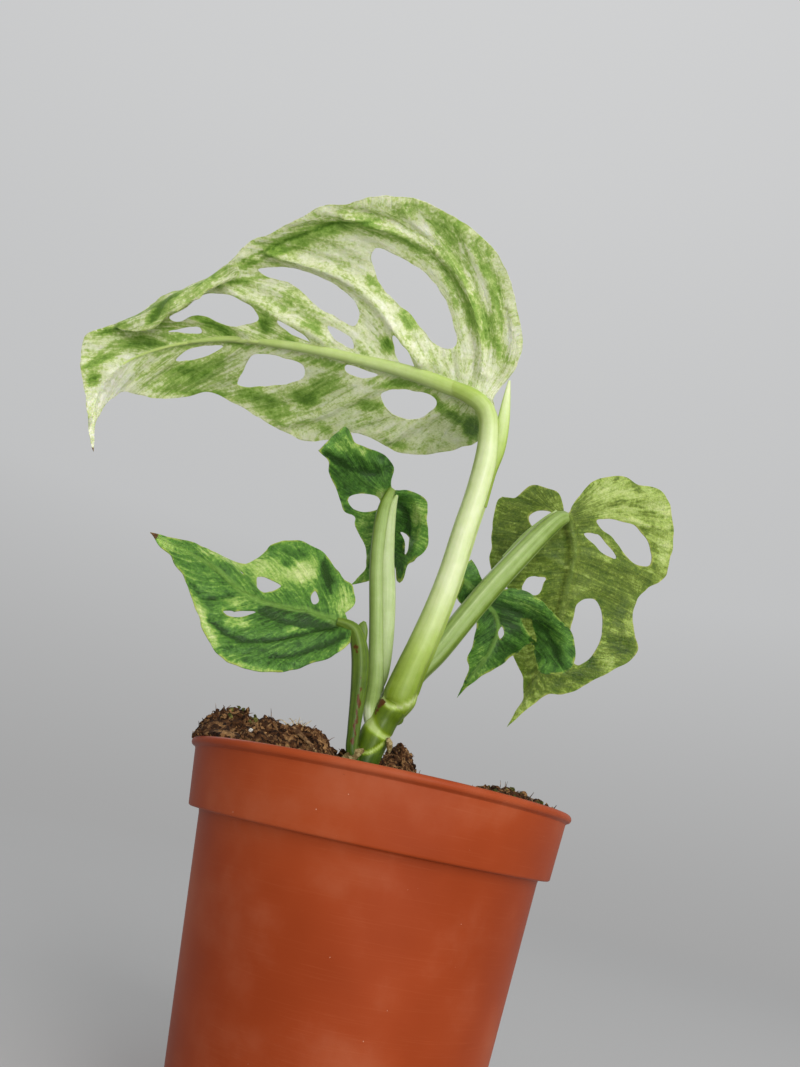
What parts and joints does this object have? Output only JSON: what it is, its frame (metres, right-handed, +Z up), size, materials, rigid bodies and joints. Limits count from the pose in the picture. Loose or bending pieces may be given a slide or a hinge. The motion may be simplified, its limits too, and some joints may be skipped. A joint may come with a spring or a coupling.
{
  "type": "potted monstera adansonii",
  "caption": "Young variegated Swiss cheese plant with perforated heart-shaped leaves on grooved stalks, standing in potting soil in a round tapered nursery pot",
  "frame": {"origin": "centre of the flat underside of the pot, on the pot's axis", "axes": "+Z up along the pot's axis; -Y is the plant's front as pictured; +X to the right seen from the front; -Z is the outward normal of the base mount"},
  "size_m": [0.1408, 0.0745, 0.1642],
  "materials": {
    "pot_plastic": "semi-matte terracotta-coloured moulded plastic",
    "potting_soil": "dry fibrous peat and bark crumbs",
    "green_stem": "smooth living green stem with pale rings",
    "leaf_stalk": "smooth pale green grooved leaf stalk, slightly glossy",
    "pale_leaf": "cream and green variegated leaf, satin",
    "green_leaf": "mottled dark and lime green leaf, satin to glossy"
  },
  "bodies": {
    "root": {"pot": "pot_plastic", "soil": "potting_soil", "stem": "green_stem", "petiole_1": "leaf_stalk", "petiole_2": "leaf_stalk", "petiole_3": "leaf_stalk", "petiole_4": "leaf_stalk", "petiole_5": "leaf_stalk", "leaf_1": "pale_leaf", "leaf_2": "green_leaf", "leaf_3": "green_leaf", "leaf_4": "green_leaf", "leaf_5": "green_leaf"}
  },
  "joints": []
}
